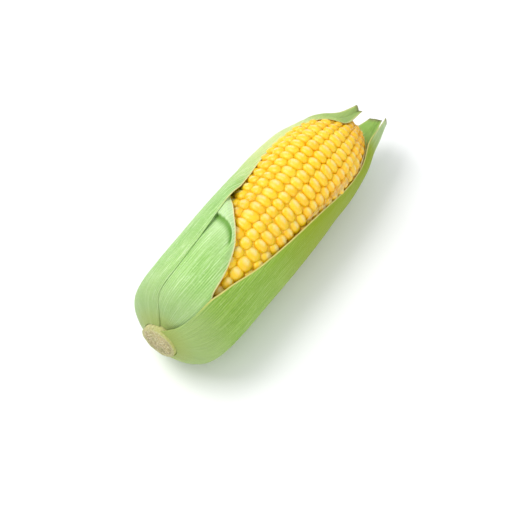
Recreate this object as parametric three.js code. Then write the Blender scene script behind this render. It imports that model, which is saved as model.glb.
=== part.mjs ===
// An ear of sweet corn lying on its side in its partly opened husk. Millimetres, +Z up.
// The ear runs along +X from its cut shank to its tip. The origin is the middle of the small flat
// that the husk rests on. A station is a distance from the cut face of the shank along the ear,
// and an angle is in degrees round the ear, from the top (+Z) towards -Y.
import * as THREE from 'three';

// ---- driving dimensions ----
const AXIS_HEIGHT = 27.6;            // axis above the surface the ear lies on
const REST_STATION = 76;             // station of the origin
const BEND = { reach: 1.5, middle: 77, span: 90 };   // sideways curve of the ear towards -Y

const HUSK_PROFILE = [               // [station, radius] of the outermost husk surface
  [1.2, 9.9], [2.1, 11.7], [3.8, 15.8], [6.8, 20.7], [11, 24.2], [18, 26.3], [30, 27.4],
  [48, 28.1], [72, 28.7], [97, 28.2], [115, 26.7], [129, 24.5], [142, 20.9], [153, 16.6],
  [163, 13.8], [175, 10.8],
];
const LAYER_PITCH = 1.3;             // from one husk layer to the next
const LEAF_THICKNESS = 0.75;
const MARGIN_THICKNESS = 0.6;
const COLUMN_CROWDING = 1.15;        // over 1 crowds a leaf's columns towards its base
const PROFILE_SAMPLES = 2000;

const COB_PROFILE = [                // [station, radius] over the crowns of the kernels
  [7.6, 11.5], [11, 16.3], [17, 19.9], [27, 22.2], [42, 23.0], [82, 23.0], [102, 23.0],
  [118, 22.7], [130, 21.2], [138, 19.2], [144, 16.9], [149, 14.6], [152.5, 12.1], [155, 9.1],
  [156.6, 5.8],
];
const ROWS = 20;
const FIRST_ROW_LINE = 11;           // angle of the groove before the first row
const KERNEL_PITCH = [[7.6, 6.6], [45, 6.7], [62, 5.8], [95, 5.1], [125, 4.6], [157, 3.6]];
const KERNEL_DEPTH = 1.9;            // from crown down to where four kernels meet
const KERNEL_SIDE_DEPTH = 1.45;      // from crown down to the groove beside a kernel
const KERNEL_CROWN = 0.6;            // width of a crown over that of its kernel
const KERNEL_DOME = 0.5;             // from the middle of a crown down to its corners
const SHALLOW_RADIUS = 14;           // where the cob is thinner than this, its grooves are shallower
const HALF_KERNEL_DROP = 0.4;        // half kernels at the ends of rows are lower than the others
const JOINED_ROWS_RADIUS = 14;       // nearer the tip than this, rows run on in pairs
const JOINED_KERNEL_DROP = 0.1;
const COB_TIP = 157.6;
const GROOVE_SHIFT = 0.16;           // random shift of a groove, in kernel pitches
const ROW_WANDER = { degrees: 1.6, length: 31, phase: 2.1 };
const STAGGER = [0, 0, 1, 1, 0, 1, 1, 0, 0, 1];      // half kernels that a row is shifted by

const SHANK = {
  radius: 9.4, length: 7.2, pith: 7.0, dish: 0.35, rim: 0.6, sides: 40,
  scars: [2.7, 5.4], scarWidth: 1, scarHeight: 0.12,
  clearance: 0.4,                    // to the leaves round it
};

// A leaf's margins are [station, angle] from its base to its cut end. The front margin is the one
// with the smaller angle. Layer 0 is outermost, and `free` is the margin that no other leaf covers.
// `lean` is how far that margin leans inwards and `sink` how far the whole leaf does, at each station.
// The lean fades out over `band` degrees, given at each station too.
const LEVEL = [[0, 0], [1, 0]];
const LEAVES = {
  leaf_right: {
    layer: 0, columns: 30, rows: 14, free: 'front', colour: 0x8fb94a,
    front: [[1, 4], [2.5, 20], [4.3, 28.5], [8, 31.5], [22, 32.4], [29, 35.5], [37, 39.5], [48, 47],
      [58.5, 52.5], [75, 58.6], [98, 66], [110.5, 71.5], [124, 79], [133, 83], [140, 82], [146, 74],
      [152, 68], [160, 70.5], [171.5, 81]],
    back: [[1, 222], [40, 226], [100, 222], [122, 205], [136, 178], [146, 152], [156, 133],
      [171.5, 116]],
    lean: [[2, 0], [6, 1.1], [14, 1.3], [28, 1.6], [40, 2.4], [60, 3.1], [90, 3.2], [110, 2.9],
      [121, 2.5], [135, 1.9], [146, 1.5], [156, 0.8], [171, 0.3]],
    sink: [[132, 0], [141, -0.8], [151, -1.2], [161, -1.5], [171.5, -0.8]],
    band: [[4, 40], [16, 100], [108, 100], [120, 60], [132, 28]],
  },
  leaf_left: {
    layer: 1, columns: 34, rows: 12, free: 'back', colour: 0xb9d98c,
    front: [[1, -152], [40, -150], [90, -148], [98, -138], [116, -126], [128, -108], [136, -86],
      [141, -66], [144, -50], [147, -34], [149.2, -21], [151.5, -14], [156.7, -8], [162.5, -3]],
    back: [[1, -5], [3, -9.5], [5.5, -13.6], [8.5, -17.4], [12, -19.4], [24, -20], [39, -21.7],
      [50, -24], [60.5, -26.6], [74, -30], [81, -33], [90, -40], [97, -44.5], [104, -48], [112, -52],
      [121, -54], [127, -52], [132, -48], [136, -43.5], [139, -37], [141.8, -29.5], [144.3, -18],
      [145.8, -5], [147.2, 7], [149, 12.5], [152, 15.5], [162.5, 17]],
    lean: [[60, 0.1], [76, 0.15], [84, 1.2], [92, 2.4], [104, 2.8], [115, 3.0], [127, 2.5], [133, 1.2],
      [140, 0.35], [146, -0.1], [162, 0.2]],
    sink: [[95, 0], [102, -0.6], [110, -1.2], [120, -1.8], [127, -1.8], [134, -0.6], [140, 0], [162, 0]],
    band: [[0, 24]],
  },
  leaf_front: {
    layer: 2, columns: 36, rows: 13, free: 'back', colour: 0xa9cf7c,
    front: [[1, -78], [30, -74], [58, -66], [70, -58], [80, -48]],
    back: [[1, 74], [4, 72], [8, 65], [12, 56], [16, 46], [20, 38], [24, 32.4], [27, 30], [32, 28],
      [37, 25.8], [42, 22.8], [47, 18.6], [52, 13.4], [57.5, 4.8], [61, -1.6], [64.3, -8.6],
      [68, -15.8], [71, -22.6], [75, -34], [80, -43]],
    lean: [[22, 0], [34, 0.7], [80, 0.9]],
    sink: LEVEL,
    band: [[0, 14]],
  },
  leaf_back: {
    layer: 2, columns: 30, rows: 14, free: 'front', colour: 0x86b244,
    front: [[1, 88], [12, 84], [60, 92], [120, 104], [138, 106], [148, 112], [158, 119], [166, 122],
      [174.5, 128]],
    back: [[1, 268], [60, 272], [78, 280], [96, 292], [120, 286], [134, 262], [144, 232],
      [152, 214], [160, 203], [167, 192], [174.5, 178]],
    lean: [[14, 0], [30, 0.9], [100, 0.9], [114, 0.95], [123, 0.45], [132, 0]],
    sink: [[106, 0], [118, -0.7], [130, -0.85], [137, -1.1], [150, -1.2], [174.5, -1.2]],
    band: [[0, 30]],
  },
};

// The front leaf is buckled: on the base side of a crest that runs across it, its blade is pressed in.
const BUCKLE = {
  leaf: 'leaf_front',
  crest: [[-50, 62.8], [-31, 62.6], [-22, 62.2], [-11, 60.8], [-6, 59.7], [0, 57.6], [4, 55.2], [8, 51.8],
    [12, 46]],
  depth: 1.2, wall: 1.2, tail: 19, left: [-34, -27], right: [5, 12],
};

const FINISH = {
  kernel_cob: { color: 0xf6b71c, roughness: 0.34, metalness: 0 },
  shank: { color: 0xcdb58c, roughness: 0.85, metalness: 0 },
  leaf: { roughness: 0.55, metalness: 0 },
};

// ---- small tools ----
const radians = THREE.MathUtils.degToRad;
const mix = THREE.MathUtils.lerp;
const smooth = (x, from, to) => THREE.MathUtils.smoothstep(x, Math.min(from, to), Math.max(from, to));

// A number between 0 and 1 that looks random but is the same every time.
function scatter(a, b) {
  const wave = Math.sin(a * 12.9898 + b * 78.233 + 3.7) * 43758.5453;
  return wave - Math.floor(wave);
}

// Smooth curve y(x) through [x, y] points, level beyond both ends.
function curveAt(points, x) {
  const last = points.length - 1;
  if (x <= points[0][0]) return points[0][1];
  if (x >= points[last][0]) return points[last][1];
  const slope = (i) => {
    const [a, b] = [Math.max(i - 1, 0), Math.min(i + 1, last)];
    return (points[b][1] - points[a][1]) / (points[b][0] - points[a][0]);
  };
  const i = points.findIndex((p) => p[0] > x) - 1;
  const [[x0, y0], [x1, y1]] = [points[i], points[i + 1]];
  const width = x1 - x0;
  const t = (x - x0) / width;
  return y0 * (1 + 2 * t) * (1 - t) ** 2 + slope(i) * width * t * (1 - t) ** 2
    + y1 * t * t * (3 - 2 * t) + slope(i + 1) * width * t * t * (t - 1);
}

// A point at a station, a distance from the axis and an angle.
function earPoint(station, radius, angle) {
  const sideways = BEND.reach * ((station - BEND.middle) / BEND.span) ** 3;
  return [
    station - REST_STATION,
    -radius * Math.sin(radians(angle)) - sideways,
    AXIS_HEIGHT + radius * Math.cos(radians(angle)),
  ];
}

function meshOf(name, vertices, triangles, finish) {
  const geometry = new THREE.BufferGeometry();
  geometry.setAttribute('position', new THREE.Float32BufferAttribute(vertices.flat(), 3));
  geometry.setIndex(triangles.flat());
  geometry.computeVertexNormals();
  const mesh = new THREE.Mesh(geometry, new THREE.MeshStandardMaterial(finish));
  mesh.name = name;
  return mesh;
}

// ---- kernels on their cob ----
// Grooves form a net of corners: `line` counts round the cob and `step` counts half kernels along it.
function kernelSteps() {
  const stations = [COB_PROFILE[0][0]];
  const end = COB_PROFILE[COB_PROFILE.length - 1][0];
  while (stations[stations.length - 1] < end) {
    const here = stations[stations.length - 1];
    stations.push(here + curveAt(KERNEL_PITCH, here) / 2);
  }
  if (stations.length % 2 === 0) stations.pop();
  return stations;
}

function kernelCob() {
  const steps = kernelSteps();
  const lastStep = steps.length - 1;
  const joinStep = steps.findIndex((station, i) => i % 2 === 0 && station > REST_STATION
    && curveAt(COB_PROFILE, station) < JOINED_ROWS_RADIUS);
  const vertices = [];
  const triangles = [];
  const corners = new Map();

  // Where a groove corner lies: [station, angle].
  function cornerPlace(line, step) {
    const free = step > 0 && step < lastStep && step !== joinStep ? 1 : 0;
    const pitch = steps[Math.min(step + 1, lastStep)] - steps[Math.max(step - 1, 0)];
    const shift = free * GROOVE_SHIFT * pitch * (scatter(line, step) - 0.5);
    const wander = ROW_WANDER.degrees * Math.sin(steps[step] / ROW_WANDER.length + line * ROW_WANDER.phase);
    return [steps[step] + shift, FIRST_ROW_LINE + (line * 360) / ROWS + wander];
  }
  function corner(line, step, isEnd) {
    const turn = line % ROWS;
    const key = `${turn}/${step}`;
    if (!corners.has(key)) {
      const [station, angle] = cornerPlace(turn, step);
      const crown = curveAt(COB_PROFILE, station);
      const depth = (isEnd ? KERNEL_DEPTH : KERNEL_SIDE_DEPTH) * Math.min(1, crown / SHALLOW_RADIUS);
      corners.set(key, vertices.length);
      vertices.push(earPoint(station, crown - depth, angle));
    }
    return corners.get(key);
  }
  // One kernel over the polygon of its groove corners, listed anticlockwise from outside. `drop` is how
  // far its crown lies below the others.
  function kernel(ring, drop) {
    const outline = ring.map(([line, step]) => {
      const [station, angle] = cornerPlace(line % ROWS, step);
      return [station, angle + (line >= ROWS ? 360 : 0)];
    });
    const middle = [0, 1].map((k) => {
      const values = outline.map((p) => p[k]);
      return (Math.min(...values) + Math.max(...values)) / 2;
    });
    const feet = ring.map(([line, step, isEnd]) => corner(line, step, isEnd));
    const crowns = outline.map(([station, angle], i) => {
      const at = [mix(middle[0], station, KERNEL_CROWN), mix(middle[1], angle, KERNEL_CROWN)];
      const down = drop + (ring[i][2] ? KERNEL_DOME : 0);
      return vertices.push(earPoint(at[0], curveAt(COB_PROFILE, at[0]) - down, at[1])) - 1;
    });
    const n = ring.length;
    for (let i = 0; i < n; i += 1) {
      const j = (i + 1) % n;
      triangles.push([feet[i], feet[j], crowns[j]], [feet[i], crowns[j], crowns[i]]);
    }
    for (let i = 0; i < n - 2; i += 1) triangles.push([crowns[n - 1], crowns[i], crowns[i + 1]]);
  }

  for (let row = 0; row < ROWS; row += 1) {
    const cuts = [0];
    for (let s = STAGGER[row % STAGGER.length] || 2; s < joinStep; s += 2) cuts.push(s);
    if (cuts[cuts.length - 1] !== joinStep) cuts.push(joinStep);
    for (let i = 0; i + 1 < cuts.length; i += 1) {
      const [from, to] = [cuts[i], cuts[i + 1]];
      const between = to - from === 2 ? [from + 1] : [];
      kernel([
        [row, from, true], [row + 1, from, true], ...between.map((s) => [row + 1, s, false]),
        [row + 1, to, true], [row, to, true], ...between.map((s) => [row, s, false]),
      ], to - from === 2 ? 0 : HALF_KERNEL_DROP);
    }
  }
  for (let step = joinStep; step < lastStep; step += 2) {
    for (let row = 0; row < ROWS; row += 2) {
      const seam = step === joinStep ? [[row + 1, step, true]] : [];
      kernel([
        [row, step, true], ...seam, [row + 2, step, true], [row + 2, step + 1, false],
        [row + 2, step + 2, true], [row, step + 2, true], [row, step + 1, false],
      ], JOINED_KERNEL_DROP);
    }
  }

  const base = vertices.push(earPoint(steps[0], 0, 0)) - 1;
  const tip = vertices.push(earPoint(COB_TIP, 0, 0)) - 1;
  for (let line = 0; line < ROWS; line += 1) {
    triangles.push([base, corner(line + 1, 0, true), corner(line, 0, true)]);
  }
  for (let line = 0; line < ROWS; line += 2) {
    triangles.push([tip, corner(line, lastStep, true), corner(line + 2, lastStep, true)]);
  }
  return meshOf('kernel_cob', vertices, triangles, FINISH.kernel_cob);
}

// ---- shank: the stub of stalk under the cob, cut square ----
function shank() {
  const scars = SHANK.scars.flatMap((station) => [
    [SHANK.radius, station - SHANK.scarWidth / 2], [SHANK.radius + SHANK.scarHeight, station],
    [SHANK.radius, station + SHANK.scarWidth / 2],
  ]);
  const outline = [
    [0, SHANK.dish], [SHANK.pith * 0.6, SHANK.dish], [SHANK.pith, SHANK.dish * 0.4],
    [SHANK.radius * 0.9, 0], [SHANK.radius * 0.97, SHANK.rim / 4], [SHANK.radius, SHANK.rim],
    ...scars, [SHANK.radius * 0.96, SHANK.length], [0, SHANK.length],
  ];
  const vertices = [];
  const triangles = [];
  const rings = outline.map(([radius, station]) => {
    if (radius === 0) {
      vertices.push(earPoint(station, 0, 0));
      return [vertices.length - 1];
    }
    return Array.from({ length: SHANK.sides }, (_, i) => {
      vertices.push(earPoint(station, radius, (i * 360) / SHANK.sides));
      return vertices.length - 1;
    });
  });
  for (let k = 0; k + 1 < rings.length; k += 1) {
    for (let i = 0; i < SHANK.sides; i += 1) {
      const j = (i + 1) % SHANK.sides;
      const [a, b] = [rings[k], rings[k + 1]];
      if (a.length > 1) triangles.push([a[i], a[j], b[j % b.length]]);
      if (b.length > 1) triangles.push([a[i % a.length], b[j], b[i]]);
    }
  }
  return meshOf('shank', vertices, triangles, FINISH.shank);
}

// ---- husk leaves ----
// The husk's outer surface: its station, radius and outward direction at a place along its profile.
const PROFILE_CURVE = new THREE.CatmullRomCurve3(
  HUSK_PROFILE.map(([station, radius]) => new THREE.Vector3(station, radius, 0)), false, 'centripetal');

const PROFILE_PLACES = Array.from({ length: PROFILE_SAMPLES + 1 }, (_, i) => ({
  at: PROFILE_CURVE.getPoint(i / PROFILE_SAMPLES),
  along: PROFILE_CURVE.getTangent(i / PROFILE_SAMPLES),
}));

function buckleDepth(station, angle) {
  const below = curveAt(BUCKLE.crest, angle) - station;
  const across = smooth(angle, ...BUCKLE.left) * (1 - smooth(angle, ...BUCKLE.right));
  return BUCKLE.depth * smooth(below, 0, BUCKLE.wall) * (1 - smooth(below, 0, BUCKLE.tail)) * across;
}

// Places along the profile for a leaf's columns, from where it clears the shank to its cut end.
function leafColumns(leaf, depth) {
  const end = leaf.front[leaf.front.length - 1][0];
  const first = PROFILE_PLACES.findIndex(
    ({ at, along }) => at.y - depth * along.x >= SHANK.radius + SHANK.clearance);
  const last = PROFILE_PLACES.findLastIndex(({ at }) => at.x <= end);
  return Array.from({ length: leaf.columns + 1 }, (_, i) => {
    const part = (i / leaf.columns) ** COLUMN_CROWDING;
    return PROFILE_PLACES[Math.round(mix(first, last, part))];
  });
}

function huskLeaf(name, leaf) {
  const depth = leaf.layer * LAYER_PITCH;
  const columns = leafColumns(leaf, depth + LEAF_THICKNESS);
  const vertices = [];
  const index = [[], []];
  columns.forEach(({ at, along }, column) => {
    const [front, back] = [curveAt(leaf.front, at.x), curveAt(leaf.back, at.x)];
    const sink = curveAt(leaf.sink, at.x);
    for (let row = 0; row <= leaf.rows; row += 1) {
      const angle = mix(front, back, row / leaf.rows);
      const open = leaf.free === 'front' ? angle - front : back - angle;
      const lean = curveAt(leaf.lean, at.x) * (1 - smooth(open, 0, curveAt(leaf.band, at.x)));
      const pressed = name === BUCKLE.leaf ? buckleDepth(at.x, angle) : 0;
      const isMargin = row === 0 || row === leaf.rows || column === leaf.columns;
      const thickness = isMargin ? MARGIN_THICKNESS : LEAF_THICKNESS;
      [0, thickness].forEach((inward, side) => {
        const down = depth + sink + lean + pressed + inward;
        const point = earPoint(at.x + down * along.y, at.y - down * along.x, angle);
        point[2] = Math.max(point[2], down);   // flat where the husk rests
        index[side].push(vertices.push(point) - 1);
      });
    }
  });
  const across = leaf.rows + 1;
  const triangles = [];
  const quad = (a, b, c, d) => triangles.push([a, b, c], [a, c, d]);
  for (let i = 0; i < leaf.columns; i += 1) {
    for (let k = 0; k < leaf.rows; k += 1) {
      const [a, b, c, d] = [i * across + k, i * across + k + 1, (i + 1) * across + k + 1,
        (i + 1) * across + k];
      quad(index[0][a], index[0][b], index[0][c], index[0][d]);
      triangles.push([index[1][a], index[1][c], index[1][b]], [index[1][a], index[1][d], index[1][c]]);
    }
  }
  for (let i = 0; i < leaf.columns; i += 1) {
    const [a, b] = [i * across, (i + 1) * across];
    quad(index[0][a], index[0][b], index[1][b], index[1][a]);
    const [c, d] = [a + leaf.rows, b + leaf.rows];
    quad(index[0][c], index[1][c], index[1][d], index[0][d]);
  }
  for (let k = 0; k < leaf.rows; k += 1) {
    quad(index[0][k], index[1][k], index[1][k + 1], index[0][k + 1]);
    const end = leaf.columns * across + k;
    quad(index[0][end], index[0][end + 1], index[1][end + 1], index[1][end]);
  }
  return meshOf(name, vertices, triangles, { ...FINISH.leaf, color: leaf.colour });
}

// ---- the ear ----
const ear = new THREE.Group();
ear.add(kernelCob(), shank());
Object.entries(LEAVES).forEach(([name, leaf]) => ear.add(huskLeaf(name, leaf)));

export default ear;
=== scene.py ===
# An ear of sweet corn lying in its partly opened husk.
# Metres in Blender, +Z up, cut shank towards -X, tip towards +X. Forms are worked out in millimetres:
# a station is a distance from the cut face along the ear, an angle is in degrees round it, from the
# top towards -Y.
import math

import bpy
from mathutils import Matrix, Vector, noise


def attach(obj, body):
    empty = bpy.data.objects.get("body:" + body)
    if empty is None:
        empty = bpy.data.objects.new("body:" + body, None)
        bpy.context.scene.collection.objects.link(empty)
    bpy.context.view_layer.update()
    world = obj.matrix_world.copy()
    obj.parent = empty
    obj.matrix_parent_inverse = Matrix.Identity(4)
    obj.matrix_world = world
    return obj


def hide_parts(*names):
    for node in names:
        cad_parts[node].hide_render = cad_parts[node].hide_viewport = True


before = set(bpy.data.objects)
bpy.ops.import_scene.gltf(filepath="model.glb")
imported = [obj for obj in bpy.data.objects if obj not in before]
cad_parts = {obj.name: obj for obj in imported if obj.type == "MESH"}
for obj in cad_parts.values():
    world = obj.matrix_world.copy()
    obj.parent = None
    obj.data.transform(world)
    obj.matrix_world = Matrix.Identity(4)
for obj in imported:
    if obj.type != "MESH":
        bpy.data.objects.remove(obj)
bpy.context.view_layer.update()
print("frame loaded:", sorted(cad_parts))

mm = 0.001
turn = 360.0

ear = {
    "axisHeight": 27.6,
    "restStation": 76.0,    # station of the origin
    "bendReach": 1.5,       # sideways curve of the ear towards -Y
    "bendMiddle": 77.0,
    "bendSpan": 90.0,
    # station and radius, over the outermost leaves and over the crowns of the kernels
    "huskProfile": [(1.2, 9.9), (2.1, 11.7), (3.8, 15.8), (6.8, 20.7), (11, 24.2), (18, 26.3),
                    (30, 27.4), (48, 28.1), (72, 28.7), (97, 28.2), (115, 26.7), (129, 24.5),
                    (142, 20.9), (153, 16.6), (163, 13.8), (175, 10.8)],
    "cobProfile": [(7.6, 11.5), (11, 16.3), (17, 19.9), (27, 22.2), (42, 23.0), (82, 23.0),
                   (102, 23.0), (118, 22.7), (130, 21.2), (138, 19.2), (144, 16.9), (149, 14.6),
                   (152.5, 12.1), (155, 9.1), (156.6, 5.8)],
    "layerPitch": 1.3,      # from one husk leaf to the one under it
    "samples": 2400,
}
huskWidest = max(radius for station, radius in ear["huskProfile"])


def clamp(value, low=0.0, high=1.0):
    return max(low, min(high, value))


def mix(a, b, share):
    return a + (b - a) * share


def ease(value, low, high):
    share = clamp((value - low) / (high - low))
    return share * share * (3 - 2 * share)


def scatter(a, b):  # looks random, is the same every run
    wave = math.sin(a * 12.9898 + b * 78.233 + 3.7) * 43758.5453
    return wave - math.floor(wave)


def curveAt(points, x):  # smooth y(x), level beyond both ends
    last = len(points) - 1
    if x <= points[0][0]:
        return points[0][1]
    if x >= points[last][0]:
        return points[last][1]

    def slope(i):
        a, b = points[max(i - 1, 0)], points[min(i + 1, last)]
        return (b[1] - a[1]) / (b[0] - a[0])

    i = next(k for k, p in enumerate(points) if p[0] > x) - 1
    (x0, y0), (x1, y1) = points[i], points[i + 1]
    width = x1 - x0
    t = (x - x0) / width
    return (y0 * (1 + 2 * t) * (1 - t) ** 2 + slope(i) * width * t * (1 - t) ** 2
            + y1 * t * t * (3 - 2 * t) + slope(i + 1) * width * t * t * (t - 1))


def earPoint(station, radius, angle, lowest=-1000.0):
    sideways = ear["bendReach"] * ((station - ear["bendMiddle"]) / ear["bendSpan"]) ** 3
    return Vector((
        station - ear["restStation"],
        -radius * math.sin(math.radians(angle)) - sideways,
        max(ear["axisHeight"] + radius * math.cos(math.radians(angle)), lowest),
    )) * mm


# places on a smooth curve through a profile, each a station, a radius and a direction
def profilePlaces(points, samples):
    ends = [tuple(2 * a - b for a, b in zip(points[0], points[1])),
            tuple(2 * a - b for a, b in zip(points[-1], points[-2]))]
    chain = [ends[0], *points, ends[1]]
    places = []
    for k in range(samples + 1):
        along = (len(points) - 1) * k / samples
        i = min(int(along), len(points) - 2)
        t = along - i
        four = chain[i:i + 4]
        gaps = [math.dist(four[j], four[j + 1]) ** 0.5 for j in range(3)]
        spot, way = [], []
        for axis in range(2):
            a, b, c, d = (p[axis] for p in four)
            leave = ((b - a) / gaps[0] - (c - a) / (gaps[0] + gaps[1]) + (c - b) / gaps[1]) * gaps[1]
            reach = ((c - b) / gaps[1] - (d - b) / (gaps[1] + gaps[2]) + (d - c) / gaps[2]) * gaps[1]
            square, cube = -3 * b + 3 * c - 2 * leave - reach, 2 * b - 2 * c + leave + reach
            spot.append(b + leave * t + square * t * t + cube * t ** 3)
            way.append(leave + 2 * square * t + 3 * cube * t * t)
        length = math.hypot(*way)
        places.append((spot[0], spot[1], way[0] / length, way[1] / length))
    return places


huskPlaces = profilePlaces(ear["huskProfile"], ear["samples"])


def deselectAll():
    bpy.ops.object.select_all(action="DESELECT")


def takeOver(piece):  # makes one object the only selected and active one
    deselectAll()
    piece.select_set(True)
    bpy.context.view_layer.objects.active = piece


def inEditMode(piece, work):
    takeOver(piece)
    bpy.ops.object.mode_set(mode="EDIT")
    bpy.ops.mesh.select_all(action="SELECT")
    work()
    bpy.ops.object.mode_set(mode="OBJECT")


def addModifier(piece, kind, settings):
    takeOver(piece)
    modifier = piece.modifiers.new(kind.title(), kind)
    for key, value in settings.items():
        setattr(modifier, key, value)
    bpy.ops.object.modifier_apply(modifier=modifier.name)


def joinParts(parts, main):
    deselectAll()
    for part in parts:
        part.select_set(True)
    bpy.context.view_layer.objects.active = main
    bpy.ops.object.join()


def storeNumbers(piece, name, values):
    layer = piece.data.attributes.new(name, "FLOAT", "POINT")
    layer.data.foreach_set("value", values)


def finishPiece(piece, name, material, node):
    piece.name = name
    piece.data.name = name
    piece.data.materials.clear()
    piece.data.materials.append(material)
    takeOver(piece)
    bpy.ops.object.transform_apply(location=True, rotation=True, scale=True)
    bpy.ops.object.shade_smooth()
    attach(piece, "root")
    if node:
        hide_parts(node)
    print("piece", name, len(piece.data.polygons), "faces")


# an output of a shader node, which the usual signs of arithmetic work on
class Wire:
    def __init__(self, shader, socket):
        self.shader = shader
        self.socket = socket

    def maths(self, operation, *others):
        return self.shader.add("ShaderNodeMath", {"operation": operation},
                               dict(enumerate((self, *others))))

    def __add__(self, other):
        return self.maths("ADD", other)

    def __sub__(self, other):
        return self.maths("SUBTRACT", other)

    def __rsub__(self, other):
        return self.shader.add("ShaderNodeMath", {"operation": "SUBTRACT"}, {0: other, 1: self})

    def __mul__(self, other):
        return self.maths("MULTIPLY", other)

    def __pow__(self, other):
        return self.maths("POWER", other)

    __radd__ = __add__
    __rmul__ = __mul__


class Shader:
    def __init__(self, name):
        self.material = bpy.data.materials.new(name)
        self.material.use_nodes = True
        self.tree = self.material.node_tree
        self.tree.nodes.clear()

    # any node: its type, its settings, then the values or wires of its sockets
    def add(self, kind, settings=None, inputs=None, output=0):
        node = self.tree.nodes.new(kind)
        for key, value in (settings or {}).items():
            setattr(node, key, value)
        for key, value in (inputs or {}).items():
            if isinstance(value, Wire):
                self.tree.links.new(value.socket, node.inputs[key])
            else:
                node.inputs[key].default_value = value
        return Wire(self, node.outputs[output]) if node.outputs else None

    def number(self, name):
        return self.add("ShaderNodeAttribute", {"attribute_name": name}, output="Fac")

    def place(self, scale=(1.0, 1.0, 1.0)):
        spot = self.add("ShaderNodeTexCoord", output="Object")
        return self.add("ShaderNodeMapping", None, {"Vector": spot, "Scale": scale})

    def speckle(self, vector, scale, detail=2.0, roughness=0.5):
        return self.add("ShaderNodeTexNoise", None, {"Vector": vector, "Scale": scale, "Detail": detail,
                                                     "Roughness": roughness}, output="Fac")

    def step(self, value, low, high):  # 0 at low, 1 at high, smooth between
        return self.add("ShaderNodeMapRange", {"interpolation_type": "SMOOTHSTEP"},
                        {"Value": value, "From Min": low, "From Max": high})

    def blend(self, share, first, second):
        return self.add("ShaderNodeMix", {"data_type": "RGBA"}, {0: share, 6: first, 7: second}, output=2)

    def pair(self, x, y, z=0.0):
        return self.add("ShaderNodeCombineXYZ", None, {0: x, 1: y, 2: z})

    def bump(self, height, reach, strength=1.0):
        return self.add("ShaderNodeBump", None, {"Height": height, "Distance": reach, "Strength": strength})

    def finish(self, **sockets):
        named = {key.replace("_", " "): value for key, value in sockets.items()}
        surface = self.add("ShaderNodeBsdfPrincipled", None, named)
        self.add("ShaderNodeOutputMaterial", None, {"Surface": surface})
        return self.material


def tint(code):  # a colour as #rrggbb to the shader's own linear one
    parts = [int(code[i:i + 2], 16) / 255 for i in (1, 3, 5)]
    return tuple(c / 12.92 if c <= 0.04045 else ((c + 0.055) / 1.055) ** 2.4 for c in parts)


def paint(code):
    return (*tint(code), 1.0)


kernels = {
    "rows": 20,
    "firstLine": 11.0,          # angle of the groove before the first row
    "pitch": [(7.6, 6.6), (45, 6.7), (62, 5.8), (95, 5.1), (125, 4.6), (157, 3.6)],
    "stagger": [0, 0, 1, 1, 0, 1, 1, 0, 0, 1],      # half kernels that a row is shifted by
    "grooveShift": 0.16,        # of a pitch, how far a groove strays
    "wander": (1.6, 31.0, 2.1),     # a row's sway round the cob: degrees, mm a radian, radians a row
    "slide": (0.16, 23.0, 2.4),     # and along the cob, in pitches
    "tipRadius": 14.0,          # where the cob is thinner than this, its kernels stand in rings
    "tipProfile": [(152.5, 12.1), (155, 9.1), (156.6, 5.8), (157.4, 2.8), (157.7, 0.0)],
    "tipSamples": 300,
    "tipPitch": 3.2,            # length and width of the kernels in those rings
    "tipWidth": 3.7,
    "leastCosine": 0.35,        # kernels on steeper slopes than this get no longer
    "cuts": 3,
    "roundness": 0.94,
    "rootWidth": 0.8,           # over the width of the crown
    "height": 5.6,              # from the sunk root to the crown
    "shortest": 4.6,            # kernels shorter than this are lower too
    "fill": (1.24, 1.28),       # length and width over the space between grooves
    "widthDepth": 0.35,         # of the height, how far below the crown that space is measured
    "leastRadius": 0.8,
    "lift": [(0, 0.1), (90, 0.2), (112, 0.6), (140, 0.6), (152, 0.2)],      # over the cob's profile
    "lean": 12.0,               # degrees that a crown leans towards the tip
    "turnJitter": 12.0,         # degrees
    "sizeJitter": 0.14,
    "crownJitter": 0.5,
    "paintedHighlight": (0.04, 0.13),        # where the painted highlight, a pale cap towards the key light, is centred, in lengths and widths from the middle
    "paintedHighlightFade": (0.05, 0.4),
    "tipward": (134, 155),      # stations between which the kernels turn darker
    "core": {"sides": 48, "rings": 60, "inset": 0.6, "depth": 1.5, "leastRadius": 0.5},
    # the root colour, deeper orange low on each kernel, is painted shade for the grooves between kernels
    "colours": {"root": "#ffb800", "flesh": "#ffc602", "bright": "#ffd226", "dull": "#ffb200",
                "paintedHighlight": "#ffdf8c", "tip": "#f4a810", "fleck": "#ffe480"},
}


def kernelStations():
    stations = [ear["cobProfile"][0][0]]
    while stations[-1] < ear["cobProfile"][-1][0]:
        stations.append(stations[-1] + curveAt(kernels["pitch"], stations[-1]) / 2)
    if len(stations) % 2 == 0:
        stations.pop()
    return stations


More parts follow.
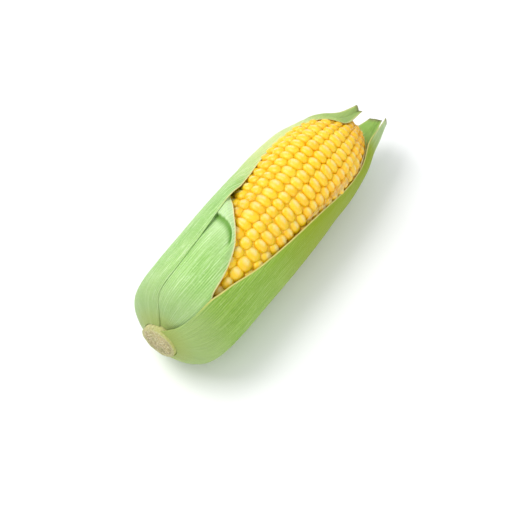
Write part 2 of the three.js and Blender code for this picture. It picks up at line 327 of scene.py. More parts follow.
# station, radius, slope, angle, length in mm and width in degrees of every kernel in the long rows
def rowCells():
    steps = kernelStations()
    last = len(steps) - 1
    join = next(i for i, s in enumerate(steps) if i % 2 == 0 and s > ear["restStation"]
                and curveAt(ear["cobProfile"], s) < kernels["tipRadius"])

    def sway(kind, station, row):
        amount, length, phase = kernels[kind]
        return amount * math.sin(station / length + row * phase)

    def corner(line, step):
        free = 0 < step < last and step != join
        pitch = steps[min(step + 1, last)] - steps[max(step - 1, 0)]
        row = line % kernels["rows"]
        shift = free * kernels["grooveShift"] * pitch * (scatter(row, step) - 0.5)
        angle = kernels["firstLine"] + line * turn / kernels["rows"] + sway("wander", steps[step], row)
        return steps[step] + shift, angle

    cells = []
    for row in range(kernels["rows"]):
        firstCut = kernels["stagger"][row % len(kernels["stagger"])] or 2
        cuts = [0, *range(firstCut, join, 2)]
        cuts += [join] if cuts[-1] != join else []
        for start, end in zip(cuts, cuts[1:]):
            net = [corner(line, step) for line in (row, row + 1) for step in (start, end)]
            stations = [p[0] for p in net]
            angles = [p[1] for p in net]
            low, high = (stations[0] + stations[2]) / 2, (stations[1] + stations[3]) / 2
            middle = (low + high) / 2 + sway("slide", low, row) * (high - low)
            slope = math.atan(curveAt(ear["cobProfile"], middle + 0.5)
                              - curveAt(ear["cobProfile"], middle - 0.5))
            cells.append((middle, curveAt(ear["cobProfile"], middle), slope, sum(angles) / 4,
                          (high - low) / max(math.cos(slope), kernels["leastCosine"]),
                          (angles[2] + angles[3] - angles[0] - angles[1]) / 2))
    return cells


def tipCells():  # the same for the rings of kernels over the tip
    cells, walked, ring = [], 0.0, 0
    tip = profilePlaces(kernels["tipProfile"], kernels["tipSamples"])
    for here, there in zip(tip, tip[1:]):
        walked += math.dist(here[:2], there[:2])
        if walked > (ring + 0.5) * kernels["tipPitch"]:
            count = max(1, round(math.tau * here[1] / kernels["tipWidth"]))
            slope = math.atan2(here[3], here[2])
            cells += [(here[0], here[1], slope, (i + ring / 2) * turn / count, kernels["tipPitch"],
                       turn / count) for i in range(count)]
            ring += 1
    return cells


def modelKernel():  # a plump block, 1 x 1 x 1, crown up, narrower at its root
    bpy.ops.mesh.primitive_cube_add(size=1)
    block = bpy.context.active_object

    def shape():
        bpy.ops.mesh.subdivide(number_cuts=kernels["cuts"])
        bpy.ops.transform.tosphere(value=kernels["roundness"])

    inEditMode(block, shape)
    size = block.dimensions.copy()
    for vertex in block.data.vertices:
        spot = vertex.co
        spot.x, spot.y, spot.z = spot.x / size.x, spot.y / size.y, spot.z / size.z
        width = mix(kernels["rootWidth"], 1.0, ease(spot.z, -0.5, 0.0))
        spot.x *= width
        spot.y *= width
    return block


def placeKernel(block, index, cell):
    station, radius, slope, angle, length, width = cell
    jitter = [scatter(index, k) - 0.5 for k in range(1, 5)]
    reach = length * kernels["fill"][0]
    height = kernels["height"] * min(1.0, reach / kernels["shortest"])
    inner = max(radius - height * kernels["widthDepth"] * math.cos(slope), kernels["leastRadius"])
    across = math.radians(width) * inner * kernels["fill"][1]
    outward = Vector((-math.sin(slope), -math.cos(slope) * math.sin(math.radians(angle)),
                      math.cos(slope) * math.cos(math.radians(angle))))
    forward = Vector((math.cos(slope), -math.sin(slope) * math.sin(math.radians(angle)),
                      math.sin(slope) * math.cos(math.radians(angle))))
    sideways = outward.cross(forward)
    lift = curveAt(kernels["lift"], station) + jitter[0] * kernels["crownJitter"]
    crown = earPoint(station, radius, angle) + outward * lift * mm
    grow = 1 + jitter[1] * kernels["sizeJitter"]
    facing = Matrix((forward, sideways, outward)).transposed().to_4x4()
    sizes = Matrix.Diagonal((reach * grow * mm, across * grow * mm, height * mm, 1))
    yaw = Matrix.Rotation(math.radians(kernels["turnJitter"] * jitter[2]), 4, "Z")
    tilt = Matrix.Rotation(math.radians(kernels["turnJitter"] * jitter[3]), 4, "X")
    lean = Matrix.Rotation(math.radians(kernels["lean"]), 4, "Y")
    centre = Matrix.Translation(crown - outward * height * 0.5 * mm)
    copy = block.copy()
    copy.data = block.data.copy()
    copy.data.transform(centre @ facing @ yaw @ tilt @ lean @ sizes)
    bpy.context.collection.objects.link(copy)
    spots = [vertex.co for vertex in block.data.vertices]
    # painted highlight: a pale cap on each crown, off-centre towards the side that faces the key light
    fromPaintedHighlight = [math.dist(spot.xy, kernels["paintedHighlight"]) for spot in spots]
    storeNumbers(copy, "tone", [scatter(index, 9)] * len(spots))
    storeNumbers(copy, "tipward", [ease(station, *kernels["tipward"])] * len(spots))
    storeNumbers(copy, "rise", [spot.z + 0.5 for spot in spots])
    storeNumbers(copy, "paintedHighlight", [1 - ease(gap, *kernels["paintedHighlightFade"]) if spot.z > 0 else 0.0
                               for spot, gap in zip(spots, fromPaintedHighlight)])
    return copy


def modelCore():  # the cob under the kernels, seen only deep in the grooves
    form = kernels["core"]
    bpy.ops.mesh.primitive_uv_sphere_add(segments=form["sides"], ring_count=form["rings"], radius=1)
    core = bpy.context.active_object
    first, last = ear["cobProfile"][0][0] + form["inset"], ear["cobProfile"][-1][0] - form["inset"]
    for vertex in core.data.vertices:
        share = 0.5 - math.asin(clamp(vertex.co.z, -1, 1)) / math.pi
        station = mix(first, last, share)
        angle = math.degrees(math.atan2(vertex.co.y, vertex.co.x))
        closing = clamp(min(share, 1 - share) * form["rings"])  # 0 at the two poles, 1 elsewhere
        radius = max(curveAt(ear["cobProfile"], station) - form["depth"], form["leastRadius"]) * closing
        vertex.co = earPoint(station, radius, angle)
    inEditMode(core, lambda: bpy.ops.mesh.normals_make_consistent(inside=False))
    for name, value in (("tone", 0.5), ("rise", 0.5), ("tipward", 0.0), ("paintedHighlight", 0.0)):
        storeNumbers(core, name, [value] * len(core.data.vertices))
    return core


def kernelFinish():
    look = Shader("kernelSkin")
    paints = {name: paint(code) for name, code in kernels["colours"].items()}
    tone, rise = look.number("tone"), look.number("rise")
    cloud = look.speckle(look.place(), 60, 2)
    mottle = look.speckle(look.place(), 900, 3)
    height = rise + cloud * 0.16 - 0.08
    # painted shade: deeper orange towards each kernel's root, down in the grooves
    flesh = look.blend(look.step(height, 0.45, 0.8), paints["root"], paints["flesh"])
    flesh = look.blend(look.step(tone, 0.3, 1.0) * 0.4, flesh, paints["bright"])
    flesh = look.blend((1 - look.step(tone, 0.0, 0.3)) * 0.4, flesh, paints["dull"])
    # painted highlight: the pale cap on each crown, placed towards the key light
    paintedHighlight = look.number("paintedHighlight") + mottle * 0.3 - 0.15
    flesh = look.blend(look.step(paintedHighlight, 0.1, 0.95) * 0.9, flesh, paints["paintedHighlight"])
    flesh = look.blend(look.number("tipward") * (0.3 + cloud * 0.4), flesh, paints["tip"])
    flesh = look.blend(look.step(mottle, 0.55, 0.8) * 0.2, flesh, paints["fleck"])
    dents = look.bump(look.speckle(look.place(), 420, 2) + mottle * 0.3, 0.0003, 0.3)
    return look.finish(Base_Color=flesh, Roughness=0.33 + mottle * 0.12, Normal=dents,
                       Subsurface_Weight=0.4, Subsurface_Radius=(0.004, 0.0022, 0.0004),
                       Subsurface_Scale=1.0, Specular_IOR_Level=0.6)


def makeKernels():
    block = modelKernel()
    cells = rowCells() + tipCells()
    parts = [placeKernel(block, index, cell) for index, cell in enumerate(cells)]
    bpy.data.objects.remove(block)
    core = modelCore()
    joinParts([*parts, core], core)
    print("kernels placed:", len(cells))
    finishPiece(core, "kernelsOnCob", kernelFinish(), "kernel_cob")


# Of each leaf, at stations along the ear: the angles of its "front" and "back" margins, how far the
# "free" one, which no other leaf covers, leans in over the "band" of degrees beside it, how far that
# margin itself is tucked in, how far the whole leaf sinks, and how deep a channel its cut tip forms.
# Then its colours, and the stations between which its dry margin, ripe colour and tip colour set in.
leaves = {
    "thickness": 0.6,
    "marginShare": 0.35,        # thickness at a margin over that of the blade
    "marginWidth": 3.0,         # the blade thins over this
    "ribPitch": 1.25,
    "ribHeight": 0.035,
    "pleatHeight": 0.16,
    "pleats": (0.16, 0.012),    # scale across the leaf, in ribs, and along it, in millimetres
    "ribsFrom": (14, 24),       # degrees from the bottom, where the husk rests on a smooth flat
    "tuckWidth": 4.5,           # a free margin bends in towards the kernels over this
    "channelFall": 1.3,         # over 1 makes a channel steeper in its middle
    "crowding": 1.15,           # over 1 crowds a leaf's columns towards its base
    "clearance": 9.45,          # least inner radius, just outside the shank
    # patterns of streaks: scale across the ribs and along them, place, detail, roughness
    "streaks": {"wide": (0.16, 0.014, 0.0, 3, 0.5), "fine": (0.9, 0.03, 0.0, 4, 0.6),
                "hair": (3.4, 0.05, 0.0, 3, 0.5), "pale": (1.9, 0.07, 4.0, 4, 0.65),
                "cross": (0.5, 0.9, 8.0, 3, 0.6)},
    "colours": {"collarShade": "#a3ac4c", "hollowShade": "#5d9422", "cut": "#7c7048"},
    "right": {
        "node": "leaf_right", "slot": "husk_green", "layer": 0, "columns": 190, "rows": 100,
        "free": "front", "band": [(4, 40), (16, 100), (108, 100), (120, 60), (132, 28)],
        "tuck": [(30, 0), (48, 0.9), (98, 0.85), (112, 0.5), (126, 0.5), (140, 0.8)],
        "front": [(1, 4), (2.5, 20), (4.3, 28.5), (8, 31.5), (22, 32.4), (29, 35.5), (37, 39.5),
                  (48, 47), (58.5, 52.5), (75, 58.6), (98, 66), (110.5, 71.5), (124, 79), (133, 83),
                  (140, 82), (146, 74), (152, 68), (160, 70.5), (171.5, 81)],
        "back": [(1, 222), (40, 226), (100, 222), (122, 205), (136, 178), (146, 152), (156, 133),
                 (171.5, 116)],
        "lean": [(2, 0), (6, 1.1), (14, 1.3), (28, 1.6), (40, 2.4), (60, 3.1), (90, 3.2), (110, 2.9),
                 (121, 2.5), (135, 1.9), (146, 1.5), (156, 0.8), (171, 0.3)],
        "sink": [(132, 0), (141, -0.8), (151, -1.2), (161, -1.5), (171.5, -0.8)],
        "light": "#b2cd76", "pale": "#95bb4c", "green": "#80aa34", "deep": "#628c22",
        "margin": "#d8cd78", "dryFrom": (10, 26),
        "foot": "#a3b67c", "ripe": "#8d9e08", "ripening": 0.92, "ripeFrom": (38, 100),
        "channel": [(154, 0), (168, 0.3)],
        "tip": "#cfe6b8", "tipFrom": (150, 164), "shine": 0.22,
    },
    "left": {
        "node": "leaf_left", "slot": "husk_pale", "layer": 1, "columns": 200, "rows": 80,
        "free": "back", "band": [(0, 24)],
        "tuck": [(4, 0.35), (12, 0.25), (22, 0.08), (72, 0.08), (80, 1.0), (84, 1.75), (90, 1.55),
                 (96, 1.35)],
        "front": [(1, -152), (40, -150), (90, -148), (98, -138), (116, -126), (128, -108), (136, -86),
                  (141, -66), (144, -50), (147, -34), (149.2, -21), (151.5, -14), (156.7, -8),
                  (162.5, -3)],
        "back": [(1, -5), (3, -9.5), (5.5, -13.6), (8.5, -17.4), (12, -19.4), (24, -20), (39, -21.7),
                 (50, -24), (60.5, -26.6), (74, -30), (81, -33), (90, -40), (97, -44.5), (104, -48),
                 (112, -52), (121, -54), (127, -52), (132, -48), (136, -43.5), (139, -37),
                 (141.8, -29.5), (144.3, -18), (145.8, -5), (147.2, 7), (149, 12.5), (152, 15.5),
                 (162.5, 17)],
        "lean": [(60, 0.1), (76, 0.15), (84, 1.2), (92, 2.4), (104, 2.8), (115, 3.0), (127, 2.5),
                 (133, 1.2), (140, 0.35), (146, -0.1), (162, 0.2)],
        "sink": [(95, 0), (102, -0.6), (110, -1.2), (120, -1.8), (127, -1.8), (134, -0.6), (140, 0),
                 (162, 0)],
        "light": "#d3ecb0", "pale": "#a9d07e", "green": "#8fc063", "deep": "#73a748",
        "margin": "#e4dc94", "dryFrom": (58, 84),
        "foot": "#8fa36c", "ripe": "#eae8a0", "ripening": 0.6, "ripeFrom": (70, 122),
        "channel": [(138, 0), (150, 1.2), (162.5, 1.9)],
        "tip": "#8aa850", "tipFrom": (136, 152), "shine": 0.35,
    },
    "front": {
        "node": "leaf_front", "slot": "husk_pale", "layer": 2, "columns": 280, "rows": 130,
        "free": "back", "band": [(0, 14)], "tuck": [(34, 0), (46, 0.9)],
        "front": [(1, -78), (30, -74), (58, -66), (70, -58), (80, -48)],
        "back": [(1, 74), (4, 72), (8, 65), (12, 56), (16, 46), (20, 38), (24, 32.4), (27, 30),
                 (32, 28), (37, 25.8), (42, 22.8), (47, 18.6), (52, 13.4), (57.5, 4.8), (61, -1.6),
                 (64.3, -8.6), (68, -15.8), (71, -22.6), (75, -34), (80, -43)],
        "lean": [(22, 0), (34, 0.7), (80, 0.9)],
        "sink": [(2, -0.4), (6, -0.7), (80, -0.7)],
        "light": "#d2eeb0", "pale": "#abd480", "green": "#90c060", "deep": "#6fa33e",
        "margin": "#e6dd9a", "dryFrom": (16, 30),
        "foot": "#93a873", "ripe": "#e2f8c8", "ripening": 0.6, "ripeFrom": (36, 78),
        "channel": [(0, 0)],
        "tip": "#e2f8c8", "tipFrom": (72, 84), "shine": 0.35,
    },
    "back": {
        "node": "leaf_back", "slot": "husk_inner", "layer": 2, "columns": 150, "rows": 90,
        "free": "front", "band": [(0, 30)], "tuck": [(0, 0)],
        "front": [(1, 88), (12, 84), (60, 92), (120, 104), (138, 106), (148, 112), (158, 119),
                  (166, 122), (174.5, 128)],
        "back": [(1, 268), (60, 272), (78, 280), (96, 292), (120, 286), (134, 262), (144, 232),
                 (152, 214), (160, 203), (167, 192), (174.5, 178)],
        "lean": [(14, 0), (30, 0.9), (100, 0.9), (114, 0.95), (123, 0.45), (132, 0)],
        "sink": [(106, 0), (118, -0.7), (130, -0.85), (137, -1.1), (150, -1.2), (174.5, -1.2)],
        "light": "#c8e29c", "pale": "#a9cc78", "green": "#8dbb58", "deep": "#6f9f3a",
        "margin": "#dcdc96", "dryFrom": (60, 90),
        "foot": "#97a876", "ripe": "#9cbb50", "ripening": 0.3, "ripeFrom": (70, 120),
        "channel": [(158, 0), (172, 1.0)],
        "tip": "#92b850", "tipFrom": (152, 166), "shine": 0.35,
    },
}

# the front leaf is pressed in on the base side of a crest that runs across it, and painted shade darkens
# that hollow
buckle = {
    "crest": [(-50, 62.8), (-31, 62.6), (-22, 62.2), (-11, 60.8), (-6, 59.7), (0, 57.6), (4, 55.2),
              (8, 51.8), (12, 46)],     # angle and station
    "depth": 1.7,
    "wall": 0.6,            # from the crest down to the full depth
    "tail": 19.0,           # from the crest to where the blade is level again
    "shade": (0.4, 6.5),    # distances from the crest between which the painted shade fades out
    "left": (-34, -27),     # angles between which the buckle sets in and ends
    "right": (5, 12),
}


def buckleDepth(station, angle):
    below = curveAt(buckle["crest"], angle) - station
    across = ease(angle, *buckle["left"]) * (1 - ease(angle, *buckle["right"]))
    return buckle["depth"] * ease(below, 0, buckle["wall"]) * (1 - ease(below, 0, buckle["tail"])) * across


def leafPlaces(leaf, depth):  # from where the leaf clears the shank to its cut end
    end = leaf["front"][-1][0]
    first = next(i for i, p in enumerate(huskPlaces) if p[1] - depth * p[2] >= leaves["clearance"])
    return [p for p in huskPlaces[first:] if p[0] <= end]


# lays a flat grid round the ear as a leaf, and returns what the leaf's colours follow at each vertex
def layLeaf(sheet, which):
    leaf = leaves[which]
    depth = leaf["layer"] * ear["layerPitch"]
    places = leafPlaces(leaf, depth + leaves["thickness"])
    marks = {"marginGap": [], "endGap": [], "baseGap": [], "vein": [], "hollowShade": []}
    for vertex in sheet.data.vertices:
        along, across = vertex.co.x + 0.5, vertex.co.y + 0.5
        place = along ** leaves["crowding"] * (len(places) - 1)
        lower = min(int(place), len(places) - 2)
        station, radius, forward, outward = (
            mix(a, b, place - lower) for a, b in zip(places[lower], places[lower + 1]))
        front, back = curveAt(leaf["front"], station), curveAt(leaf["back"], station)
        angle = mix(front, back, across)
        arc = math.radians(1) * radius
        openEdge = angle - front if leaf["free"] == "front" else back - angle
        lean = curveAt(leaf["lean"], station) * (1 - ease(openEdge, 0, curveAt(leaf["band"], station)))
        tuck = curveAt(leaf["tuck"], station) * (1 - ease(openEdge * arc, 0, leaves["tuckWidth"]))
        pressed = buckleDepth(station, angle) if which == "front" else 0
        vein = math.radians(angle) * huskWidest / leaves["ribPitch"]
        ribbed = ease(abs(angle - turn / 2), *leaves["ribsFrom"])
        rib = leaves["ribHeight"] * math.cos(math.tau * vein)
        wave = Vector((vein * leaves["pleats"][0], station * leaves["pleats"][1], leaf["layer"]))
        pleat = leaves["pleatHeight"] * noise.noise(wave)
        channel = curveAt(leaf["channel"], station) * (1 - abs(2 * across - 1)) ** leaves["channelFall"]
        sunk = tuck + channel + curveAt(leaf["sink"], station) + lean + pressed
        down = depth + sunk + ribbed * (rib + pleat)
        vertex.co = earPoint(station + down * outward, radius - down * forward, angle, max(down, 0))
        marks["marginGap"].append(min(angle - front, back - angle) * arc)
        marks["endGap"].append(leaf["front"][-1][0] - station)
        marks["baseGap"].append(station)
        marks["vein"].append(vein)
        # painted shade for the hollow below the crest, strongest at its wall
        below = curveAt(buckle["crest"], angle) - station
        marks["hollowShade"].append(pressed / buckle["depth"] * (1 - ease(below, *buckle["shade"])))
    return marks


def makeLeaf(which):
    leaf = leaves[which]
    bpy.ops.mesh.primitive_grid_add(x_subdivisions=leaf["columns"], y_subdivisions=leaf["rows"], size=1)
    sheet = bpy.context.active_object
    marks = layLeaf(sheet, which)
    for name, values in marks.items():
        storeNumbers(sheet, name, values)
    inEditMode(sheet, bpy.ops.mesh.flip_normals)  # laid round the ear, the grid faces the kernels
    thin = sheet.vertex_groups.new(name="blade")
    for index, gap in enumerate(marks["marginGap"]):
        share = mix(leaves["marginShare"], 1.0, ease(gap, 0, leaves["marginWidth"]))
        thin.add([index], share, "REPLACE")
    addModifier(sheet, "SOLIDIFY", {"thickness": leaves["thickness"] * mm, "offset": -1.0,
                                    "vertex_group": "blade"})
    finishPiece(sheet, which + "Leaf", leafFinish(which), leaf["node"])


def leafFinish(which):
    leaf = leaves[which]
    look = Shader(which + "LeafSkin")
    vein, gap, hollowShade = look.number("vein"), look.number("marginGap"), look.number("hollowShade")
    end, base = look.number("endGap"), look.number("baseGap")
    cloud = look.speckle(look.place(), 30, 3)

    def streaks(name):
        across, along, start, detail, roughness = leaves["streaks"][name]
        return look.speckle(look.pair(vein * across, base * along, start), 1, detail, roughness)

    wide, fine, hair, pale, cross = map(streaks, ("wide", "fine", "hair", "pale", "cross"))
    ribs = (vein * math.tau).maths("COSINE") * 0.5 + 0.5
    skin = look.blend(look.step(wide, 0.35, 0.65), paint(leaf["green"]), paint(leaf["pale"]))
    skin = look.blend(look.step(fine, 0.38, 0.62) * 0.6, skin, paint(leaf["pale"]))
    skin = look.blend(look.step(ribs * fine, 0.2, 0.6) * 0.55, skin, paint(leaf["deep"]))
    skin = look.blend(look.step(hair, 0.48, 0.7) * 0.5, skin, paint(leaf["deep"]))
    skin = look.blend(look.step(pale, 0.5, 0.66) * 0.65, skin, paint(leaf["light"]))
    skin = look.blend(look.step(cross, 0.5, 0.7) * 0.22, skin, paint(leaf["light"]))
    ripe = look.step(base + cloud * 12 - 6, *leaf["ripeFrom"]) * (0.75 + fine * 0.4)
    skin = look.blend(ripe * leaf["ripening"], skin, paint(leaf["ripe"]))
    tip = look.step(base + hair * 6, *leaf["tipFrom"]) * (1 - pale * 0.5)
    tipSkin = look.blend(look.step(fine, 0.4, 0.6) * 0.5, paint(leaf["tip"]), paint(leaf["deep"]))
    skin = look.blend(tip, skin, tipSkin)
    foot = 1 - look.step(base + cloud * 8, 8, 34)
    skin = look.blend(foot * 0.6, skin, paint(leaf["foot"]))
    # painted shade: olive where the leaf bases meet the cut shank
    collarShade = 1 - look.step(base + cloud * 2, 2.5, 7)
    skin = look.blend(collarShade * 0.5, skin, paint(leaves["colours"]["collarShade"]))
    # painted shade: darker green in the pressed-in hollow below the buckle's crest
    skin = look.blend(look.step(hollowShade, 0.0, 1.0) * 0.9, skin, paint(leaves["colours"]["hollowShade"]))
    edge = 1 - look.step(gap + fine * 0.5, 0.6, 1.3)
    dry = edge * look.step(base, *leaf["dryFrom"]) * (0.9 - tip * 0.7)
    skin = look.blend(dry, skin, paint(leaf["margin"]))
    cut = 1 - look.step(end + hair * 3, 1.4, 4.2)
    skin = look.blend(cut * 0.8, skin, paint(leaves["colours"]["cut"]))
    relief = look.bump(ribs * 0.5 + fine * 0.9 + hair * 0.5 + pale * 0.5 + cross * 0.3, 0.0003, 0.7)
    return look.finish(Base_Color=skin, Roughness=0.42 + fine * 0.22, Normal=relief,
                       Subsurface_Weight=0.15, Subsurface_Radius=(0.0015, 0.002, 0.0006),
                       Subsurface_Scale=1.0, Specular_IOR_Level=leaf["shine"], Sheen_Weight=0.04)


shank = {
    "radius": 9.4,
    "length": 7.2,
    "sides": 96,
    "rings": [8.9, 7.8, 6.4, 4.4, 2.2],     # radii that the cut face is divided at
    "dish": 0.35,
    "dishEdge": (6.2, 9.2),     # radii between which the dish ends
    "bevel": 0.35,
    "bevelEdge": (9.3, 10.0),
    "relief": 0.22,
    "reliefEdge": (9.2, 10.0),
    "reliefScale": 420,         # to a metre
    "colours": {"pith": "#b8aa78", "moist": "#a9a46c", "bundle": "#807158", "fleck": "#dfd9b4",
                "sap": "#c4c588", "rind": "#b9c266"},
}


def makeShank():
    start, end = earPoint(0, 0, 0), earPoint(shank["length"], 0, 0)
    bpy.ops.mesh.primitive_cylinder_add(vertices=shank["sides"], radius=shank["radius"] * mm,
                                        depth=shank["length"] * mm, location=(start + end) / 2,
                                        rotation=(0, math.pi / 2, 0))
    stub = bpy.context.active_object
    bpy.ops.object.transform_apply(location=True, rotation=True, scale=True)
    for polygon in stub.data.polygons:
        polygon.select = polygon.normal.x < -0.9
    for edge in stub.data.edges:
        edge.select = False
    takeOver(stub)
    bpy.ops.object.mode_set(mode="EDIT")
    bpy.ops.mesh.select_mode(type="FACE")
    outer = shank["radius"]
    for ring in shank["rings"]:  # divides the cut face, which is shaped below
        bpy.ops.mesh.inset(thickness=(outer - ring) * mm, depth=0)
        outer = ring
    bpy.ops.mesh.poke()
    bpy.ops.object.mode_set(mode="OBJECT")
    for vertex in stub.data.vertices:
        spot = vertex.co
        if spot.x < (start.x + end.x) / 2:
            radius = math.hypot(spot.y - start.y, spot.z - start.z) / mm
            relief = noise.noise(Vector((spot.y, spot.z, 0.3)) * shank["reliefScale"]) * shank["relief"]
            relief *= 1 - ease(radius, *shank["reliefEdge"])
            dish = shank["dish"] * (1 - ease(radius, *shank["dishEdge"]))
            bevel = shank["bevel"] * ease(radius, *shank["bevelEdge"])
            spot.x = start.x + (dish + bevel + relief) * mm
    finishPiece(stub, "shankStub", shankFinish(), "shank")


def shankFinish():
    look = Shader("cutStalk")
    paints = {name: paint(code) for name, code in shank["colours"].items()}
    centre = earPoint(0, 0, 0)
    y = look.add("ShaderNodeSeparateXYZ", None, {"Vector": look.place()}, output=1) - centre.y
    z = look.add("ShaderNodeSeparateXYZ", None, {"Vector": look.place()}, output=2) - centre.z
    radius = (y * y + z * z) ** 0.5 * (1 / mm)
    grain = look.speckle(look.place(), 900, 4, 0.7)
    blot = look.speckle(look.place(), 180, 3)
    bundles = look.add("ShaderNodeTexVoronoi", {"feature": "F1"},
                       {"Vector": look.place((0, 1, 1)), "Scale": 800}, output="Distance")
    face = look.blend(look.step(blot, 0.35, 0.7), paints["pith"], paints["moist"])
    face = look.blend((1 - look.step(bundles, 0.12, 0.45)) * 0.85, face, paints["bundle"])
    face = look.blend(look.step(grain, 0.5, 0.62) * 0.7, face, paints["fleck"])
    sap = look.step(radius + blot * 1.2, 8.2, 8.9) * (1 - look.step(radius, 9.25, 9.5))
    face = look.blend(sap * 0.5, face, paints["sap"])
    face = look.blend(look.step(radius, 9.2, 9.6) * 0.9, face, paints["rind"])
    relief = look.bump(grain + bundles * 0.8, 0.0005, 0.7)
    return look.finish(Base_Color=face, Roughness=0.7 + grain * 0.2, Normal=relief,
                       Subsurface_Weight=0.08, Subsurface_Radius=(0.002, 0.0015, 0.0008),
                       Subsurface_Scale=1.0)


# Fine threads left between the kernels and the margins of the leaves. A group runs from one station and
# angle to another, with the spread of its threads round the ear, how far each drifts along its length,
# and how many there are.
silk = {
    "groups": [
        {"start": (86, 58), "end": (136, 79), "spread": 2, "drift": -4, "count": 26},
        {"start": (100, 62), "end": (126, 74), "spread": 2, "drift": -20, "count": 8},
        {"start": (64, -14), "end": (72, -20), "spread": 3, "drift": 14, "count": 2},
        {"start": (134, 79), "end": (146, 76), "spread": 2, "drift": -5, "count": 8},
        {"start": (141, 30), "end": (149, 20), "spread": 18, "drift": 40, "count": 8},
    ],
    "tip": 153.0,               # no thread reaches past this station
    "length": 14.0,
    "lengths": (0.5, 1.3),      # of a thread over that length
    "thickness": 0.17,
    "taper": 0.6,
    "lift": 0.7,                # over the crowns of the kernels
    "rise": 1.4,                # how much higher the far end may be
    "wave": 0.8,                # degrees
    "waves": (3, 7),            # radians in a thread
    "phases": 6,                # radians that the waves of two threads may be apart
    "nudge": 0.02,              # of the length, either way, to find a thread's direction
    "sides": 5,
    "cuts": 9,
    "seedStep": 37,             # between the draws of one group and the next
    "colours": ("#d9a94a", "#f0d892"),
}


def silkFinish():
    look = Shader("silkThread")
    tone = look.speckle(look.place(), 150, 2)
    thread = look.blend(look.step(tone, 0.35, 0.6), *map(paint, silk["colours"]))
    return look.finish(Base_Color=thread, Roughness=0.45 + tone * 0.2, Subsurface_Weight=0.3,
                       Subsurface_Radius=(0.001, 0.0007, 0.0003), Subsurface_Scale=1.0)


def modelThread():  # a straight rod along X, 1 x 1 x 1
    bpy.ops.mesh.primitive_cylinder_add(vertices=silk["sides"], radius=0.5, depth=1,
                                        rotation=(0, math.pi / 2, 0))
    thread = bpy.context.active_object
    bpy.ops.object.transform_apply(location=True, rotation=True, scale=True)
    bpy.context.tool_settings.mesh_select_mode = (False, True, False)
    for part in (*thread.data.vertices, *thread.data.polygons):
        part.select = False
    for edge in thread.data.edges:  # the long ones
        ends = [thread.data.vertices[i].co.x for i in edge.vertices]
        edge.select = abs(ends[0] - ends[1]) > 0.5
    bpy.ops.object.mode_set(mode="EDIT")
    bpy.ops.mesh.subdivide(number_cuts=silk["cuts"])
    bpy.ops.object.mode_set(mode="OBJECT")
    return thread


def threadPoint(group, dice, along):
    length = silk["length"] * mix(*silk["lengths"], dice[0])
    drift = group["drift"] * dice[2]
    station, angle = (mix(a, b, dice[1]) for a, b in zip(group["start"], group["end"]))
    station = min(station + length * along * math.cos(math.radians(drift)), silk["tip"])
    swing = silk["wave"] * math.sin(along * mix(*silk["waves"], dice[3]) + dice[4] * silk["phases"])
    angle += group["spread"] * (2 * dice[5] - 1) + drift * along + swing
    height = silk["lift"] + silk["rise"] * dice[6] * along ** 2
    return earPoint(station, curveAt(ear["cobProfile"], station) + height, angle)


def placeThread(thread, group, dice):
    strand = thread.copy()
    strand.data = thread.data.copy()
    bpy.context.collection.objects.link(strand)
    for vertex in strand.data.vertices:
        along = vertex.co.x + 0.5
        here, there = (threadPoint(group, dice, clamp(along + nudge))
                       for nudge in (-silk["nudge"], silk["nudge"]))
        forward = (there - here).normalized()
        sideways = forward.cross(Vector((0, 0, 1))).normalized()
        width = silk["thickness"] * (1 - silk["taper"] * along) * mm
        vertex.co = (threadPoint(group, dice, along) + sideways * vertex.co.y * width
                     + sideways.cross(forward) * vertex.co.z * width)
    return strand


def makeSilk():
    thread = modelThread()
    strands = []
    for number, group in enumerate(silk["groups"]):
        for index in range(group["count"]):
            dice = [scatter(number * silk["seedStep"] + index, k) for k in range(11, 18)]
            strands.append(placeThread(thread, group, dice))
    bpy.data.objects.remove(thread)
    joinParts(strands, strands[0])
    print("silk threads:", len(strands))
    finishPiece(strands[0], "silkThreads", silkFinish(), None)


studio = {
    "floorSize": 6.0,
    "floor": ("#f6f6f5", "#fbfbfa"),
    "world": "#f4f6fa",
    "worldPower": 0.8,
    "aim": (0, 0, 0.02),        # the point that the lights face
    "lights": [                 # metres and watts
        {"name": "overhead", "place": (-0.2, 0.5, 0.85), "size": (0.7, 0.6), "power": 7,
         "colour": "#ffffff"},
        {"name": "fill", "place": (-0.3, -0.8, 0.35), "size": (0.6, 0.6), "power": 2,
         "colour": "#fffdf8"},
    ],
}

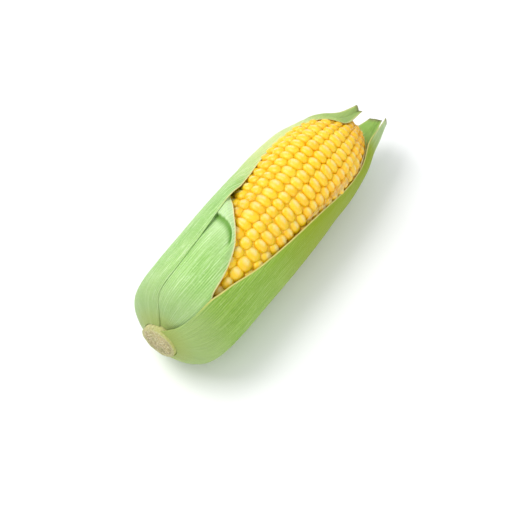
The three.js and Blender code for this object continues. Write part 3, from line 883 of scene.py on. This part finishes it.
lens = {
    "station": 77.0,            # the point of the axis that the view turns round
    "distance": 0.8,            # metres
    "focal": 116.3,
    "sensor": 36,
    "back": (-0.454, -0.3266, 0.829),       # the way from that point to the camera
    "right": (0.5836, -0.8124, 0.0),
    "up": (0.6736, 0.4836, 0.5594),
    "aim": (-0.7, -11.0),       # where the view is centred, mm right and up of that point
}


def makeCamera():
    middle = earPoint(lens["station"], 0, 0)
    aim = middle + (Vector(lens["right"]) * lens["aim"][0] + Vector(lens["up"]) * lens["aim"][1]) * mm
    where = middle + Vector(lens["back"]) * lens["distance"]
    bpy.ops.object.camera_add(location=where)
    camera = bpy.context.active_object
    camera.rotation_mode = "QUATERNION"
    camera.rotation_quaternion = (aim - where).to_track_quat("-Z", "Y")
    camera.data.lens = lens["focal"]
    camera.data.sensor_width = lens["sensor"]
    bpy.context.scene.camera = camera


def addSoftbox(light):
    bpy.ops.object.light_add(type="AREA", location=light["place"])
    box = bpy.context.active_object
    box.name = light["name"]
    box.data.shape = "RECTANGLE"
    box.data.size, box.data.size_y = light["size"]
    box.data.energy = light["power"]
    box.data.color = tint(light["colour"])
    box.rotation_mode = "QUATERNION"
    towards = Vector(studio["aim"]) - Vector(light["place"])
    box.rotation_quaternion = towards.to_track_quat("-Z", "Y")


def makeStudio():
    bpy.ops.mesh.primitive_plane_add(size=studio["floorSize"])
    ground = bpy.context.active_object
    ground.name = "floor"
    look = Shader("paleFloor")
    grain = look.speckle(look.place(), 3, 2)
    shade = look.blend(look.step(grain, 0.3, 0.7), *map(paint, studio["floor"]))
    ground.data.materials.append(look.finish(Base_Color=shade, Roughness=0.35))
    world = bpy.data.worlds.new("room")
    world.use_nodes = True
    sky = world.node_tree.nodes["Background"]
    sky.inputs["Color"].default_value = paint(studio["world"])
    sky.inputs["Strength"].default_value = studio["worldPower"]
    bpy.context.scene.world = world
    for light in studio["lights"]:
        addSoftbox(light)
    bpy.context.scene.view_settings.view_transform = "Standard"


makeCamera()
makeStudio()
makeKernels()
for which in ("right", "left", "front", "back"):
    makeLeaf(which)
makeShank()
makeSilk()
